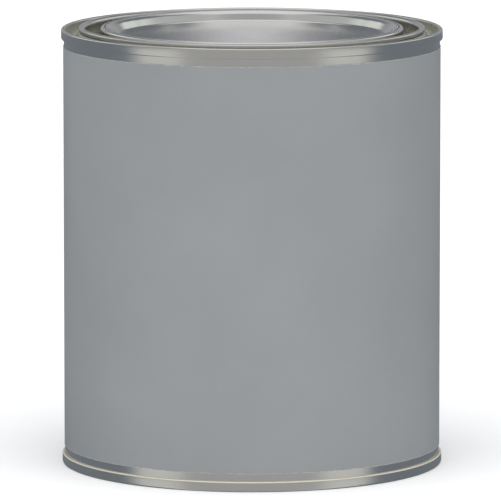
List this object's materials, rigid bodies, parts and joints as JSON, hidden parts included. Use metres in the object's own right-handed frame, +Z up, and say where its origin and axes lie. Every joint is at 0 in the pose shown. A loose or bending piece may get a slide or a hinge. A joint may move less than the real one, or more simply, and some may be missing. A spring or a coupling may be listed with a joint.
{
  "type": "paint can",
  "caption": "Round tinplate can with seamed bottom, grooved top ring, plug lid with a sunk panel, and a plain paper label, for storing paint.",
  "frame": {"origin": "centre of the base circle, on the surface that the can stands on", "axes": "+Z up along the can's own axis, out of the lid; +Y towards the label's overlap at the back; -Y the front"},
  "size_m": [0.108, 0.108, 0.1244],
  "materials": {
    "tinplate": "tin-coated steel sheet, bright with a fine rolling grain",
    "end_tinplate": "tin-coated steel sheet with a faint golden lacquer",
    "lid_tinplate": "bright tin-coated steel sheet with a fine rolling grain",
    "seam_compound": "dull cured rubber compound",
    "label_paper": "plain grey paper with a low satin varnish and nothing printed on it",
    "glue": "thin clear amber film of label glue"
  },
  "bodies": {
    "can": {"can_body": "tinplate", "bottom_end": "end_tinplate", "top_ring": "end_tinplate", "bottom_seam_compound": "seam_compound", "top_seam_compound": "seam_compound", "label": "label_paper", "label_glue": "glue"},
    "lid": {"lid": "lid_tinplate"}
  },
  "joints": [
    {"name": "lid_lift", "type": "slide", "parent": "can", "child": "lid", "axis": [0, 0, 1], "range_m": [0, 0.04]}
  ]
}
